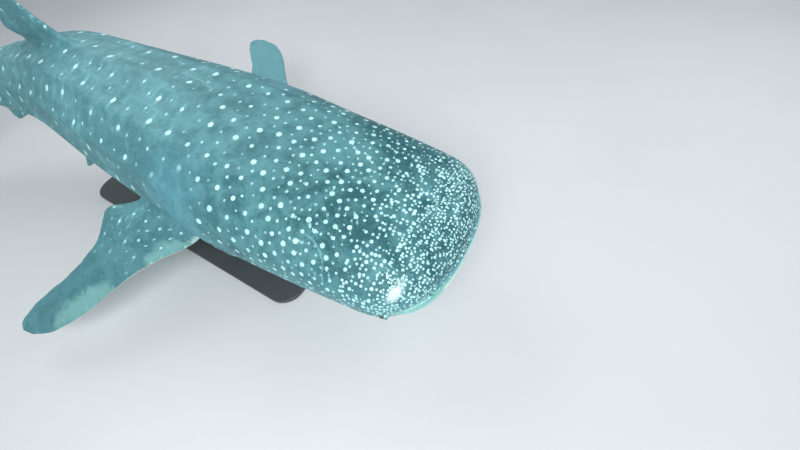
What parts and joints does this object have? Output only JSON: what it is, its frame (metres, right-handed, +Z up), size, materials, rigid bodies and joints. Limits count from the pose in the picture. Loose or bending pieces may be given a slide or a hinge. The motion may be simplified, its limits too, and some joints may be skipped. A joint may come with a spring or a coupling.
{
  "type": "whale shark",
  "caption": "Life-size still model of a swimming whale shark with a wide spotted head, long pectoral fins and a swung tail, held on a flat base by two short rods.",
  "frame": {"origin": "bottom centre of the whole model's bounding box, on the floor under the stand base", "axes": "+X towards the shark's head, +Y towards its left side, +Z up; the tail swings to its right, -Y"},
  "size_m": [5.5758, 2.8488, 1.8117],
  "materials": {
    "skin": "matte grey-teal shark skin with pale spots and bars above, off-white belly",
    "eye": "wet dark eye",
    "stand_plate": "satin dark grey paint",
    "stand_steel": "brushed steel"
  },
  "bodies": {
    "root": {"head": "skin", "gill_section": "skin", "trunk": "skin", "tail_stem": "skin", "first_dorsal_fin": "skin", "second_dorsal_fin": "skin", "anal_fin": "skin", "caudal_fin_upper_lobe": "skin", "caudal_fin_lower_lobe": "skin", "pectoral_fin_left": "skin", "pectoral_fin_right": "skin", "pelvic_fin_left": "skin", "pelvic_fin_right": "skin", "eye_left": "eye", "eye_right": "eye", "stand_base": "stand_plate", "stand_rod_front": "stand_steel", "stand_rod_rear": "stand_steel"}
  },
  "joints": []
}
